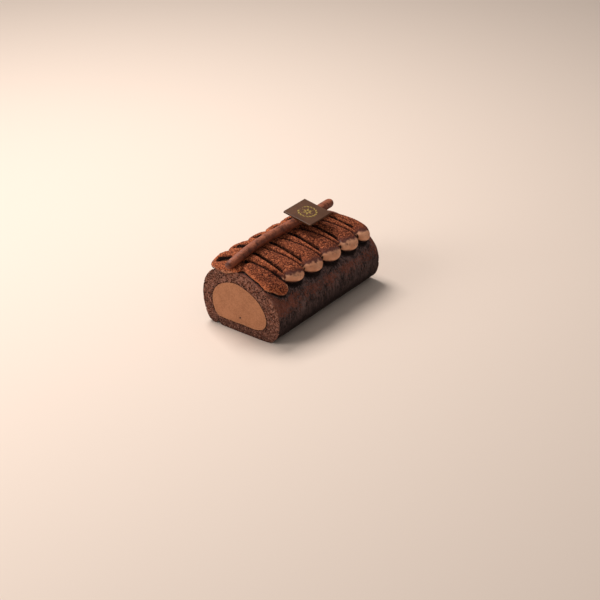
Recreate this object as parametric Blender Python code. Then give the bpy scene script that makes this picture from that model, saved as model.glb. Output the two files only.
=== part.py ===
"""Chocolate roll cake.

A thick sheet of chocolate sponge is rolled once round a fat core of filling, and its two edges
meet underneath in a seam. One rope of cream is piped over the top in a zigzag: it runs down
to the right, swells into a rounded end, comes back as a narrower ribbon and turns in an open
loop on the left. A chocolate stick lies along the crest, and a thin square plaque lies on it.

Frame: +Z is up and +Y runs along the roll, away from the cut end with the loose front fold.
+X is to the right as seen from that end. The origin is the middle of the flat underside.
"""
import math

import bmesh
import bpy
from mathutils import Matrix, Vector

MM = 0.001

# ---- the roll ------------------------------------------------------------------------------
ROLL_LENGTH = 150 * MM
GAP = 0.3 * MM                      # clearance between pieces that touch
FAR_END = (0.98, 0.952)             # width and height of the far end against the near one
OUTLINE_STEPS = 4                   # straight facets between two outline points

# Cross-section of the sponge, from one lip of the seam round to the other, (x, z) in mm.
SPONGE_OUTLINE = (
    (-24.4, 3.4), (-22.6, 0.4), (-19, 0), (24, 0), (33, 1.2), (39.2, 6.8), (42, 16), (42, 26),
    (38.8, 36), (31.5, 44.2), (20, 50.8), (6, 55.8), (-9, 57.8), (-22, 56.2), (-31.5, 50.8),
    (-38, 42.5), (-41, 31.5), (-40.8, 20), (-38.2, 9.5), (-34.4, 2.6), (-29.5, 0),
    (-26.8, 0.3), (-25.1, 3.6))

# Cross-section of the filling, starting at the seam, (x, z) in mm.
FILLING_OUTLINE = (
    (-24.6, 9.1), (-12, 8.5), (2, 8.5), (17, 8.7), (25, 11.6), (28.2, 18.5), (25.8, 27.5),
    (19.5, 35.8), (8.5, 42.3), (-5, 45.7), (-17.5, 42.6), (-26.5, 35.8), (-30.3, 27),
    (-29.6, 17), (-27.6, 12))
SEAM_GAP = 0.5 * MM

# ---- the piped cream -----------------------------------------------------------------------
# Places on the roll's top are (s, y) in mm: s is the way over the crest, measured along the
# sponge from x = 0 and positive to the right, and y is the world's.
LOOP_Y = (-67, -40, -16.5, 8, 32)       # open middle of each loop on the left
JOINT_Y = (-52, -27, -1, 26, 52)        # where two rounded ends meet on the right
END_S = (39.5, 36.5, 37.6, 37.6, 38, 37.3)  # reach of each rounded end
END_LEAN = (3, 3, 3, 3, 3, 2)           # how far each rounded end turns to the back
LOOP_REACH = (-33.5, -34.5, -31.5, -31.5, -34)  # how far each loop turns down to the left
LOOP_S = -30                            # where a loop's opening ends on the left
JOINT_S = 34
SLIT_S = 25                             # where the slit inside a fold ends on the right
SLIT_START = -8.3                       # y of a slit from its loop's middle, on the left
SLIT_BOW = 1.5
FRONT_LEG = (-8.7, -2.4)                # edges of a loop's legs, in y from its middle
BACK_LEG = (2.8, 12.4)
LEG_S = -20                             # where the legs start to spread into the runs
LEG_BLEND = 15                          # and how long they take for it
SLIT_SHIFTS = (0, 2.2, 4.7, 4.7, 4.7, 4.7)  # each slit to the joint before it, on the right
SLIT_WIDTHS = (0, 3.2, 3.5, 3.5, 1.8, 0.8)  # width of each slit where it gapes
SLIT_NECK = 0.9                         # and how narrow it is on the left
OVERLAP = 0.4                           # how far neighbouring folds press into each other
CLOSING = 1.6                           # how far a rounded end closes over its ribbon
BAND_HEIGHT = 8.4
RIBBON_HEIGHT = 8.4
RIBBON_RISE = 1.3                       # how much higher a ribbon is where it meets its end
END_HEIGHT = 12.5
END_HUB = 0.42                          # lift of a rounded end's tip, as a share of its height
FRONT_HEIGHT = 6.0
BACK_HEIGHT = 8.2
LOOP_HEIGHTS = (4.8, 7.4, 7.6, 7.8, 7.8)    # front leg of each loop
LOOP_TURNS = (6.8, 9.8, 8.8, 8.6, 8.6)      # outermost turn of each loop
LOOP_TOPS = (10.0, 9.6, 9.6, 9.4, 9.2)      # back leg of each loop
CREAM_SINK = 3.0                        # how far a fold reaches down past the sponge's surface
END_CAP = 10.5                          # length of the rounding at a fold's right end
ROPE_CAP = 3.0
ARCH_SIDES = 9
ARCH_FLATNESS = 0.8
RUN_BELLY = 0.32                        # lift at which a run is widest, as a share of its height
LOOP_BELLY = 0.45                       # and the same for a loop, which is rounder
SHORTEST_EDGE = 0.15 * MM               # shorter ones are merged after cutting

# Stretches, from s to s, over which a run changes from one form to the next.
GAPING = (-8, 12)                       # a slit opens
SHUTTING = (22, 29)                     # it shuts again
CLOSING_IN = (23, 31)                   # a rounded end closes over its ribbon
SWELLING = (4, 30)                      # a run grows into its rounded end
RIBBON_RISING = (2, 22)                 # a ribbon rises
LEANING = (26, 37)                      # a rounded end turns to the back
SQUARING = (20, 28)                     # sections turn square to the roll

# Front edge of the first fold and far edge of the last one, as (s, y) in mm.
FRONT_EDGE = ((-3, -69.5), (1, -71), (5, -72), (9, -73.5), (20, -73), (27, -74.5), (33, -72))
BACK_EDGE = ((-20, 57), (-8, 61), (0, 65), (8, 69), (18, 71.5), (28, 72), (35, 71))

# The lip that droops over the cut end: (s, droop below the edge, thickness, lift) in mm.
LIP = ((-28, 0.3, 0.4, 2.2), (-24.5, 1.4, 1.6, 3.4), (-20, 3.2, 2.6, 4.0), (-13.5, 4.9, 3.2, 4.4),
       (-9, 3.0, 2.8, 4.2), (-5, 0.8, 1.8, 3.8), (-1.5, -0.6, 0.3, 2.0))
LIP_ROOT = -72.0                        # y where the lip starts inside the first fold

# ---- the stick and the plaque ---------------------------------------------------------------
# Centre line of the stick from its near end, (x, y, z), and its radius there, all in mm.
STICK = (
    (-8.5, -77.4, 64.2, 3.9), (-7.6, -69, 66.3, 4.1), (-7.5, -57.8, 68.0, 4.2),
    (-8.2, -44.2, 68.9, 4.2), (-8.8, -25.2, 69.1, 4.2), (-7.5, 5.7, 69.2, 4.4),
    (-6.1, 33.3, 69.2, 4.4), (-5.1, 60.6, 70.2, 4.4))
STICK_SIDES = 14
STICK_STEPS = 3

PLAQUE_SIDE = 30.4 * MM
PLAQUE_THICKNESS = 1.8 * MM
PLAQUE_CENTRE = Vector((-3.6, 25.9, 74.8)) * MM
PLAQUE_TILT = (math.radians(2.0), math.radians(9.0), math.radians(-1.2))
PLAQUE_BEVEL = 0.35 * MM


# ---- curves ----------------------------------------------------------------------------------
def between(p0, p1, p2, p3, t):
    """Point between p1 and p2 on a smooth curve whose speed follows the points' spacing."""
    k0 = 0.0
    k1 = k0 + math.sqrt((p1 - p0).length)
    k2 = k1 + math.sqrt((p2 - p1).length)
    k3 = k2 + math.sqrt((p3 - p2).length)
    k = k1 + (k2 - k1) * t
    a1 = p0.lerp(p1, (k - k0) / (k1 - k0))
    a2 = p1.lerp(p2, (k - k1) / (k2 - k1))
    a3 = p2.lerp(p3, (k - k2) / (k3 - k2))
    b1 = a1.lerp(a2, (k - k0) / (k2 - k0))
    b2 = a2.lerp(a3, (k - k1) / (k3 - k1))
    return b1.lerp(b2, (k - k1) / (k2 - k1))


def smooth_curve(points, steps, closed=False):
    """Points of a smooth curve through the given ones, with `steps` parts between two."""
    knots = [Vector(p) for p in points]
    if closed:
        knots = [knots[-1], *knots, knots[0], knots[1]]
    else:
        knots = [2 * knots[0] - knots[1], *knots, 2 * knots[-1] - knots[-2]]
    curve = []
    for p0, p1, p2, p3 in zip(knots, knots[1:], knots[2:], knots[3:]):
        curve += [between(p0, p1, p2, p3, i / steps) for i in range(steps)]
    if not closed:
        curve.append(knots[-2])
    return curve


def lengths_along(curve):
    """Distance from the first point of a curve to each of its points."""
    total = [0.0]
    for a, b in zip(curve, curve[1:]):
        total.append(total[-1] + (b - a).length)
    return total


def point_at(curve, total, distance):
    """Point at a distance along a curve, whose running lengths are in `total`."""
    for i in range(1, len(curve)):
        if distance <= total[i] or i == len(curve) - 1:
            part = (distance - total[i - 1]) / (total[i] - total[i - 1])
            return curve[i - 1].lerp(curve[i], part)


def normals_2d(curve):
    """Unit vectors that point out of a counter-clockwise outline."""
    result = []
    count = len(curve)
    for i in range(count):
        along = curve[(i + 1) % count] - curve[i - 1]
        result.append(Vector((along[1], -along[0])).normalized())
    return result


def grown(outline, distance):
    return [p + n * distance for p, n in zip(outline, normals_2d(outline))]


def read_off(points, s):
    """Value at s on a line of (s, value) points, level beyond its ends."""
    if s <= points[0][0]:
        return points[0][1]
    for (s0, v0), (s1, v1) in zip(points, points[1:]):
        if s <= s1:
            return v0 + (v1 - v0) * (s - s0) / (s1 - s0)
    return points[-1][1]


def ease(t):
    """0 to 1, starting and ending gently."""
    t = min(max(t, 0.0), 1.0)
    return t * t * (3 - 2 * t)


def rise(s, stretch):
    """0 before a stretch of s and 1 after it, with a gentle rise between."""
    start, end = stretch
    return ease((s - start) / (end - start))


# ---- meshes ----------------------------------------------------------------------------------
def clear_scene():
    for old in list(bpy.data.objects):
        bpy.data.objects.remove(old, do_unlink=True)


def make_material(name, colour, roughness):
    material = bpy.data.materials.new(name)
    material.use_nodes = True
    shader = material.node_tree.nodes["Principled BSDF"]
    shader.inputs["Base Color"].default_value = (*colour, 1.0)
    shader.inputs["Roughness"].default_value = roughness
    shader.inputs["Metallic"].default_value = 0.0
    return material


def make_object(name, bm, material=None, smooth_angle=None):
    bmesh.ops.recalc_face_normals(bm, faces=bm.faces)
    mesh = bpy.data.meshes.new(name)
    bm.to_mesh(mesh)
    bm.free()
    if material:
        mesh.materials.append(material)
    if smooth_angle:
        mesh.shade_smooth()
        mesh.set_sharp_from_angle(angle=smooth_angle)
    obj = bpy.data.objects.new(name, mesh)
    bpy.context.scene.collection.objects.link(obj)
    return obj


def loft(rings):
    """Triangle skin through rings of points. A ring of one point closes its end in a fan."""
    bm = bmesh.new()
    rows = [[bm.verts.new(p) for p in ring] for ring in rings]
    for row, following in zip(rows, rows[1:]):
        count = max(len(row), len(following))
        for i in range(count):
            j = (i + 1) % count
            corners = []
            for vert in (row[i % len(row)], row[j % len(row)],
                         following[j % len(following)], following[i % len(following)]):
                if vert not in corners:
                    corners.append(vert)
            bm.faces.new(corners)
    for row in (rows[0], rows[-1]):
        if len(row) > 2:
            bm.faces.new(row)
    bmesh.ops.triangulate(bm, faces=bm.faces)
    return bm


# ---- the roll --------------------------------------------------------------------------------
def outline_in_metres(points, closed):
    """Smooth outline from (x, z) points in mm, with its underside laid flat."""
    curve = smooth_curve([(x * MM, z * MM) for x, z in points], OUTLINE_STEPS, closed)
    return [Vector((p[0], max(p[1], 0.0))) for p in curve]


def tapered(x, y, z):
    """World point for a point of the near end's section, in the slightly slimmer roll at y."""
    way = y / ROLL_LENGTH + 0.5
    return Vector((x * (1 - (1 - FAR_END[0]) * way), y, z * (1 - (1 - FAR_END[1]) * way)))


def make_sponge(material):
    """C-shaped section: outer and inner points in pairs from one lip of the seam round."""
    outer = outline_in_metres(SPONGE_OUTLINE, closed=False)
    core = grown(outline_in_metres(FILLING_OUTLINE, closed=True), GAP)
    core.append(core[0])
    total = lengths_along(core)
    start = SEAM_GAP / 2
    reach = total[-1] - SEAM_GAP
    outer_total = lengths_along(outer)
    inner = [point_at(core, total, start + reach * d / outer_total[-1]) for d in outer_total]

    bm = bmesh.new()
    ends = []
    for y in (-ROLL_LENGTH / 2, ROLL_LENGTH / 2):
        ends.append([(bm.verts.new(tapered(a[0], y, a[1])), bm.verts.new(tapered(b[0], y, b[1])))
                     for a, b in zip(outer, inner)])
    near, far = ends
    for i in range(len(outer) - 1):
        (a0, b0), (a1, b1) = near[i], near[i + 1]
        (c0, d0), (c1, d1) = far[i], far[i + 1]
        for corners in ((a0, a1, b1, b0), (c1, c0, d0, d1), (a1, a0, c0, c1), (b0, b1, d1, d0)):
            bm.faces.new(corners)
    for i in (0, -1):
        bm.faces.new((near[i][0], near[i][1], far[i][1], far[i][0]))
    return make_object("sponge", bm, material, math.radians(40))


def make_filling(material):
    outline = outline_in_metres(FILLING_OUTLINE, closed=True)
    rings = [[tapered(p[0], y, p[1]) for p in outline]
             for y in (-ROLL_LENGTH / 2, ROLL_LENGTH / 2)]
    return make_object("filling", loft(rings), material, math.radians(40))


def make_roll_form(name, extra):
    """The roll's outer form without its seam, grown all round, for cutting."""
    lips = 2
    outline = outline_in_metres(SPONGE_OUTLINE[lips:-lips], closed=True)
    half = ROLL_LENGTH / 2 + extra
    rings = [[tapered(p[0], y, p[1]) for p in grown(outline, extra)] for y in (-half, half)]
    return make_object(name, loft(rings))


class Surface:
    """The top of the roll, read by the way s over the crest."""

    def __init__(self):
        outline = outline_in_metres(SPONGE_OUTLINE, closed=False)
        outline.reverse()
        total = lengths_along(outline)
        height = max(p[1] for p in outline)
        upper = [i for i, p in enumerate(outline) if p[1] > height / 2]
        crest = min(upper, key=lambda i: abs(outline[i][0]))
        start = total[crest] - outline[crest][0]
        self.rows = []
        for i in range(1, len(outline) - 1):
            along = (outline[i + 1] - outline[i - 1]).normalized()
            self.rows.append((total[i] - start, outline[i], Vector((-along[1], along[0]))))

    def place(self, s, y, lift):
        """World point at (s, y) in mm, lifted by `lift` mm off the sponge."""
        way = s * MM
        for (s0, p0, n0), (s1, p1, n1) in zip(self.rows, self.rows[1:]):
            if way <= s1 or s1 == self.rows[-1][0]:
                part = (way - s0) / (s1 - s0)
                point = p0.lerp(p1, part) + n0.lerp(n1, part).normalized() * lift * MM
                return tapered(point[0], y * MM, point[1])


# ---- the piped cream -------------------------------------------------------------------------
def arch(half_width, height, scale, hub, belly_share):
    """Section of a fold as (across, lift) in mm: a plump arch on a foot inside the sponge.

    Where the fold closes, its section shrinks towards the lift `hub`.
    """
    belly = belly_share * height
    low = math.asin(belly / (height - belly))
    points = []
    for i in range(ARCH_SIDES):
        angle = -low + (math.pi + 2 * low) * i / (ARCH_SIDES - 1)
        across = half_width * math.copysign(abs(math.cos(angle)) ** ARCH_FLATNESS, math.cos(angle))
        lift = belly + (height - belly) * math.copysign(
            abs(math.sin(angle)) ** ARCH_FLATNESS, math.sin(angle))
        points.append((across * scale, hub + (max(lift, 0) - hub) * scale))
    foot = points[0][0]
    sunk = hub + (-CREAM_SINK - hub) * scale
    return points + [(-foot, sunk), (foot, sunk)]


def cap_places(length, cap_start, cap_end, inner_steps):
    """Distances along a fold and how full it is there, closing in a rounding at both ends."""
    turns = [math.radians(a) for a in (0, 22, 45, 68)]
    places = [(cap_start * (1 - math.cos(a)), math.sin(a)) for a in turns]
    run = length - cap_start - cap_end
    places += [(cap_start + run * i / inner_steps, 1.0) for i in range(inner_steps + 1)]
    places += [(length - cap_end * (1 - math.cos(a)), math.sin(a)) for a in reversed(turns)]
    return places


def make_fold(name, surface, stations, cap_start, cap_end, steps, belly_share, end_hub=0.0):
    """One run of the rope through (s, y, half width, height) stations in mm."""
    curve = smooth_curve(stations, 6)
    route = [Vector(p[:2]) for p in curve]
    total = lengths_along(route)
    rings = []
    for distance, scale in cap_places(total[-1], cap_start, cap_end, steps):
        s, y, half_width, height = point_at(curve, total, distance)
        ahead = point_at(route, total, min(distance + 1, total[-1]))
        behind = point_at(route, total, max(distance - 1, 0))
        along = (ahead - behind).normalized()
        if end_hub:
            along = along.lerp(Vector((1, 0)), rise(s, SQUARING)).normalized()
        hub = end_hub * height if distance > total[-1] / 2 else 0.0
        if scale < 0.01:
            rings.append([surface.place(s, y, hub)])
            continue
        rings.append([surface.place(s - along[1] * across, y + along[0] * across, lift)
                      for across, lift in arch(half_width, height, scale, hub, belly_share)])
    return make_object(name, loft(rings))


def groove(n, s):
    """y of the groove between fold n and the ribbon after it, and of its loop's opening."""
    way = max(s - LOOP_S, 0) / (JOINT_S - LOOP_S)
    return LOOP_Y[n] + (JOINT_Y[n] - LOOP_Y[n]) * ease(way ** 0.8)


def slit(n, s):
    """y of the slit between ribbon n and the fold that it turns into."""
    loop_y = LOOP_Y[n] if n < len(LOOP_Y) else 2 * LOOP_Y[-1] - LOOP_Y[-2]
    way = (s - LOOP_S) / (SLIT_S - LOOP_S)
    start = loop_y + SLIT_START
    end = JOINT_Y[n - 1] + SLIT_SHIFTS[n]
    return start + (end - start) * way + SLIT_BOW * math.sin(math.pi * min(max(way, 0), 1))


def slit_width(n, s):
    """Width of a slit, which gapes towards the right."""
    gape = rise(s, GAPING) * (1 - rise(s, SHUTTING))
    return SLIT_NECK + (SLIT_WIDTHS[n] - SLIT_NECK) * gape


def to_leg(s, loop_y, leg, near, far):
    """Edges of a run, drawn in to its loop's leg towards the left."""
    part = 1 - ease((s - LEG_S) / LEG_BLEND)
    return near + (loop_y + leg[0] - near) * part, far + (loop_y + leg[1] - far) * part


def band_edges(n, s):
    """Near and far edge, in y, of the wide run of fold n."""
    if n == 0:
        return read_off(FRONT_EDGE, s), groove(n, s) + OVERLAP
    near = slit(n, s) + slit_width(n, s) / 2
    near += (JOINT_Y[n - 1] - CLOSING - near) * rise(s, CLOSING_IN)
    if n == len(LOOP_Y):
        return near, read_off(BACK_EDGE, s)
    far = groove(n, s) + OVERLAP
    return to_leg(s, LOOP_Y[n], FRONT_LEG, near, far)


def band_stations(n):
    """The wide run of fold n, from the left to its rounded end on the right."""
    first, last = n == 0, n == len(LOOP_Y)
    stations = []
    for s in (-20, -12, -3, 4, 12, 19, 24, 28, 33, END_S[n]):
        if first and s < FRONT_EDGE[0][0]:
            continue
        near, far = band_edges(n, s)
        fullness = rise(s, SWELLING)
        height = BAND_HEIGHT + (END_HEIGHT - BAND_HEIGHT) * fullness
        if first:
            height = FRONT_HEIGHT
        if last:
            height -= (BAND_HEIGHT - BACK_HEIGHT) * (1 - fullness)
        lean = END_LEAN[n] * rise(s, LEANING)
        stations.append((s, (near + far) / 2 + lean, (far - near) / 2, height))
    return stations


def ribbon_stations(n):
    """The narrow run that comes from loop n - 1 and ends in the rounded end of fold n."""
    stations = []
    for s in (-20, -12, -4, 4, 12, 20, 26, 30):
        near, far = to_leg(s, LOOP_Y[n - 1], BACK_LEG, groove(n - 1, s) - OVERLAP,
                           slit(n, s) - slit_width(n, s) / 2)
        height = RIBBON_HEIGHT + RIBBON_RISE * rise(s, RIBBON_RISING)
        stations.append((s, (near + far) / 2, (far - near) / 2, height))
    return stations


def loop_stations(n):
    """The open turn on the left, from fold n back into ribbon n + 1."""
    y, reach = LOOP_Y[n], LOOP_REACH[n]
    low, turn, top = LOOP_HEIGHTS[n], LOOP_TURNS[n], LOOP_TOPS[n]
    start = [(-10, y - 3.6, 4.2, low)]
    if n == 0:
        start = [(0, y - 1.5, 6.3, low), (-10, y - 1.6, 6.2, low)]
    return start + [
        (-20, y - 5.6, 3.3, low),
        (reach + 7, y - 5.4, 3.3, low),
        (reach + 1.6, y - 3.1, 3.3, (low + turn) / 2),
        (reach, y + 0.6, 3.3, turn),
        (reach + 1.6, y + 4.2, 3.5, (turn + top) / 2),
        (reach + 7, y + 6.6, 4.2, top - 0.2),
        (-20, y + 7.6, 4.9, top),
        (-10, y + 9.0, 4.6, top - 1.6),
    ]


def make_lip(surface):
    """Tongue of cream that hangs over the top edge of the cut end."""
    front = -ROLL_LENGTH / MM / 2
    rings = []
    for station in smooth_curve(LIP, 3):
        s, droop, thick, lift = station
        section = ((LIP_ROOT, lift), (front - 0.4 * thick, 0.9 * lift), (front - thick, 0.4 * lift),
                   (front - 1.1 * thick, -0.4 * droop), (front - 0.8 * thick, -0.85 * droop),
                   (front - 0.4 * thick, -droop), (LIP_ROOT, -droop))
        rings.append([surface.place(s, y, height) for y, height in section])
    return make_object("lip", loft(rings))


def make_folds(surface):
    """Every run and turn of the piped rope, as closed bodies that press into each other."""
    count = len(END_S)
    folds = []
    for n in range(count):
        folds.append(make_fold(f"band_{n}", surface, band_stations(n), ROPE_CAP, END_CAP, 9,
                               RUN_BELLY, END_HUB))
        if n > 0:
            folds.append(make_fold(f"ribbon_{n}", surface, ribbon_stations(n),
                                   ROPE_CAP, ROPE_CAP, 8, RUN_BELLY))
        if n < len(LOOP_Y):
            folds.append(make_fold(f"loop_{n}", surface, loop_stations(n),
                                   ROPE_CAP, ROPE_CAP, 11, LOOP_BELLY))
    folds.append(make_lip(surface))
    return folds


def apply_boolean(target, operation, cutters):
    """Join or cut target with a collection of closed bodies, which are then removed."""
    group = bpy.data.collections.new("cutters")
    bpy.context.scene.collection.children.link(group)
    for cutter in cutters:
        cutter.hide_render = True
        cutter.display_type = "WIRE"
        group.objects.link(cutter)
    modifier = target.modifiers.new(operation, "BOOLEAN")
    modifier.operation = operation
    modifier.solver = "MANIFOLD"
    modifier.operand_type = "COLLECTION"
    modifier.collection = group
    evaluated = target.evaluated_get(bpy.context.evaluated_depsgraph_get())
    result = bpy.data.meshes.new_from_object(evaluated)
    target.modifiers.remove(modifier)
    target.data = result
    for cutter in cutters:
        bpy.data.objects.remove(cutter, do_unlink=True)
    bpy.data.collections.remove(group)


def collapse_short_edges(bm, shortest):
    """Merge the ends of edges that cutting left too short, where the skin stays closed."""
    merged = True
    while merged:
        merged = False
        for edge in [e for e in bm.edges if e.calc_length() < shortest]:
            if not edge.is_valid:
                continue
            a, b = edge.verts
            around_a = {link.other_vert(a) for link in a.link_edges}
            around_b = {link.other_vert(b) for link in b.link_edges}
            if len(around_a & around_b) != 2:
                continue
            bmesh.ops.pointmerge(bm, verts=[a, b], merge_co=(a.co + b.co) / 2)
            merged = True


def separate_bodies(bm):
    """Lists of the vertices that hang together, the smallest body first."""
    waiting = set(bm.verts)
    bodies = []
    while waiting:
        body, rim = set(), [waiting.pop()]
        while rim:
            vert = rim.pop()
            body.add(vert)
            for link in vert.link_edges:
                other = link.other_vert(vert)
                if other in waiting:
                    waiting.remove(other)
                    rim.append(other)
        bodies.append(body)
    return sorted(bodies, key=len)


def clean_cut_body(obj):
    """Leave one triangulated body, without scraps, sealed hollows or needle-thin faces."""
    bm = bmesh.new()
    bm.from_mesh(obj.data)
    scraps = [vert for body in separate_bodies(bm)[:-1] for vert in body]
    bmesh.ops.delete(bm, geom=scraps, context="VERTS")
    bmesh.ops.triangulate(bm, faces=bm.faces)
    collapse_short_edges(bm, SHORTEST_EDGE)
    bm.to_mesh(obj.data)
    bm.free()


def make_cream(material):
    surface = Surface()
    folds = make_folds(surface)
    cream = folds[0]
    cream.name = "piped_cream"
    apply_boolean(cream, "UNION", folds[1:])
    cutters = [make_roll_form("roll_cutter", GAP), make_stick_form("stick_cutter", GAP)]
    apply_boolean(cream, "DIFFERENCE", cutters)
    clean_cut_body(cream)
    cream.data.materials.clear()
    cream.data.materials.append(material)
    cream.data.shade_smooth()
    cream.data.set_sharp_from_angle(angle=math.radians(50))
    return cream


# ---- the stick and the plaque ------------------------------------------------------------------
def make_stick_form(name, extra, material=None):
    """Bent rod with rounded ends, grown all round by `extra`."""
    curve = [p * MM for p in smooth_curve(STICK, STICK_STEPS)]
    ends = ((0, -1), (-1, 1))
    rounding = [math.radians(a) for a in (25, 50, 72)]
    body = []
    for i, p in enumerate(curve):
        along = Vector(curve[min(i + 1, len(curve) - 1)][:3]) - Vector(curve[max(i - 1, 0)][:3])
        body.append((Vector(p[:3]), along.normalized(), p[3] + extra))
    caps = []
    for index, sign in ends:
        centre, along, radius = body[index]
        cap = [(centre + along * (sign * radius * math.sin(a)), along, radius * math.cos(a))
               for a in rounding]
        cap.append((centre + along * (sign * radius), along, 0.0))
        caps.append(cap)
    rings = []
    for centre, along, radius in [*reversed(caps[0]), *body, *caps[1]]:
        if radius == 0:
            rings.append([centre])
            continue
        side = along.cross(Vector((0, 0, 1))).normalized()
        up = side.cross(along)
        rings.append([centre + radius * (side * math.cos(a) + up * math.sin(a))
                      for a in (2 * math.pi * k / STICK_SIDES for k in range(STICK_SIDES))])
    return make_object(name, loft(rings), material, math.radians(50) if material else None)


def make_plaque(material):
    """Thin square slab with softened edges, tilted as it lies on the stick."""
    bm = bmesh.new()
    bmesh.ops.create_cube(bm, size=1.0)
    size = Matrix.Diagonal((PLAQUE_SIDE, PLAQUE_SIDE, PLAQUE_THICKNESS, 1.0))
    bmesh.ops.transform(bm, matrix=size, verts=bm.verts)
    bmesh.ops.bevel(bm, geom=bm.edges, offset=PLAQUE_BEVEL, segments=2, profile=0.5,
                    affect="EDGES")
    plaque = make_object("chocolate_plaque", bm, material, math.radians(40))
    plaque.location = PLAQUE_CENTRE
    plaque.rotation_euler = PLAQUE_TILT
    return plaque


def main():
    clear_scene()
    make_sponge(make_material("sponge", (0.075, 0.035, 0.023), 0.95))
    make_filling(make_material("filling", (0.42, 0.21, 0.115), 0.6))
    make_cream(make_material("piped_cream", (0.23, 0.085, 0.045), 0.9))
    make_stick_form("chocolate_stick", 0.0,
                    make_material("chocolate_stick", (0.14, 0.06, 0.04), 0.6))
    make_plaque(make_material("chocolate_plaque", (0.13, 0.075, 0.06), 0.4))


main()
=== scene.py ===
# %% [markdown]
# # A chocolate roll cake, dressed for its portrait
#
# The solids of the cake come ready made, as a fixed frame: a ring of sponge round a core of
# filling, a piped zigzag of cream, a chocolate stick and a thin square plaque. They are right in
# form and size, but they are plain. This lesson gives them crumb, pores, cocoa powder and light.

import math

import bmesh
import bpy
import numpy as np
from mathutils import Matrix, Vector


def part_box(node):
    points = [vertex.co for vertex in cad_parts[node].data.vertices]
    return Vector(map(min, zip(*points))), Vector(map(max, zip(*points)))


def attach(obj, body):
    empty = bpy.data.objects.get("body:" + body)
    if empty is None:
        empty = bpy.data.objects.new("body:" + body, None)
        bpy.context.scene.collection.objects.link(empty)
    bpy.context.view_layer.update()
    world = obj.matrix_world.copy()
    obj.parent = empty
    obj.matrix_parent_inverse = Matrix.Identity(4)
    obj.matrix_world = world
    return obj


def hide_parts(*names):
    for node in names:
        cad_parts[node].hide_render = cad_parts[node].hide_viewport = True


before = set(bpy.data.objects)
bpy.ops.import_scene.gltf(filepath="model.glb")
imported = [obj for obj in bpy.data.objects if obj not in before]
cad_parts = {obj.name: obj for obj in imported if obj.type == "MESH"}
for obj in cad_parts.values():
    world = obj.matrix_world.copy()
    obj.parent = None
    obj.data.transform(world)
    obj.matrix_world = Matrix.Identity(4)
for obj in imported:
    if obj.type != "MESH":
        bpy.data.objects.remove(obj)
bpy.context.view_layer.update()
MM = 0.001
TOUCHING = 1e-6


def add_object(name, data):
    """Object with the given data, in the scene."""
    obj = bpy.data.objects.new(name, data)
    bpy.context.scene.collection.objects.link(obj)
    return obj


def add_mesh(name, points, faces):
    """Object with a mesh of the given points and faces."""
    mesh = bpy.data.meshes.new(name)
    mesh.from_pydata(np.asarray(points).tolist(), [], faces)
    mesh.update()
    return add_object(name, mesh)


print("nodes:", sorted(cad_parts))

# %% [markdown]
# ## Camera
#
# The picture is taken from above the cake's near right corner, with a long lens from about
# 1.4 m away, so that the roll's long edges hardly run together.

# %% Camera
camera = add_object("camera", bpy.data.cameras.new("camera"))
camera.location = (0.7287, -0.9567, 0.6679)
camera.rotation_euler = (math.radians(60.9), 0.0, math.radians(37.0))
camera.data.lens = 91.8
camera.data.sensor_width = 36.0
bpy.context.scene.camera = camera
print("camera is", round(camera.location.length, 2), "m from the cake")

# %% [markdown]
# ## Light and floor
#
# One soft lamp hangs high on the left, almost level with the cake's middle, and leaves the long
# right side dark. A wider and weaker lamp in front on the left lights the cut end, and a pale world
# fills the shadows.

# %% Light and floor
def soft_lamp(name, place, aim, size, watts):
    """Square white lamp at a place, turned towards a point."""
    lamp = add_object(name, bpy.data.lights.new(name, "AREA"))
    lamp.data.size = size
    lamp.data.energy = watts
    lamp.location = place
    lamp.rotation_euler = (Vector(place) - Vector(aim)).to_track_quat("Z", "Y").to_euler()


CAKE_MIDDLE = (0.0, 0.0, 0.03)
soft_lamp("key_lamp", (-0.5, 0.12, 0.95), CAKE_MIDDLE, 0.45, 9.9)
soft_lamp("fill_lamp", (-0.55, -0.9, 0.6), CAKE_MIDDLE, 0.6, 6.2)

world = bpy.data.worlds.new("studio")
world.use_nodes = True
background = world.node_tree.nodes["Background"].inputs
background["Color"].default_value = (1.0, 1.0, 1.0, 1.0)
background["Strength"].default_value = 0.28
bpy.context.scene.world = world
bpy.context.scene.view_settings.view_transform = "Standard"

floor = add_mesh("floor", [(-3, -3, 0), (3, -3, 0), (3, 3, 0), (-3, 3, 0)], [(0, 1, 2, 3)])
floor_finish = bpy.data.materials.new("floor")
floor_finish.use_nodes = True
floor_shader = floor_finish.node_tree.nodes["Principled BSDF"].inputs
floor_shader["Base Color"].default_value = (0.8, 0.64, 0.53, 1.0)
floor_shader["Roughness"].default_value = 0.8
floor.data.materials.append(floor_finish)
print("two lamps, a pale world and a floor")

# %% [markdown]
# ## Helpers for node trees
#
# Materials and Geometry Nodes are both built from nodes. `put` adds one node and fills its inputs,
# each with a plain value or with a link. `new_group` names the inputs of a tree, so that each use
# can set its own sizes, and `run_nodes` uses such a tree on an object.

# %% Helpers for node trees
def put(tree, kind, inputs=None, **settings):
    """Outputs of a new node, with properties set and inputs filled with values or links."""
    node = tree.nodes.new(kind)
    for key, value in settings.items():
        setattr(node, key, value)
    for key, value in (inputs or {}).items():
        if isinstance(value, bpy.types.NodeSocket):
            tree.links.new(value, node.inputs[key])
        else:
            node.inputs[key].default_value = value
    return node.outputs


def calc(tree, operation, a, b=0.0, c=0.0, clamp=False):
    """Output of a Math node."""
    return put(tree, "ShaderNodeMath", {0: a, 1: b, 2: c},
               operation=operation, use_clamp=clamp)[0]


def ramp(tree, value, low, high, start=0.0, end=1.0):
    """Value eased from start to end while it goes from low to high."""
    return put(tree, "ShaderNodeMapRange", {0: value, 1: low, 2: high, 3: start, 4: end},
               interpolation_type="SMOOTHSTEP")[0]


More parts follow.
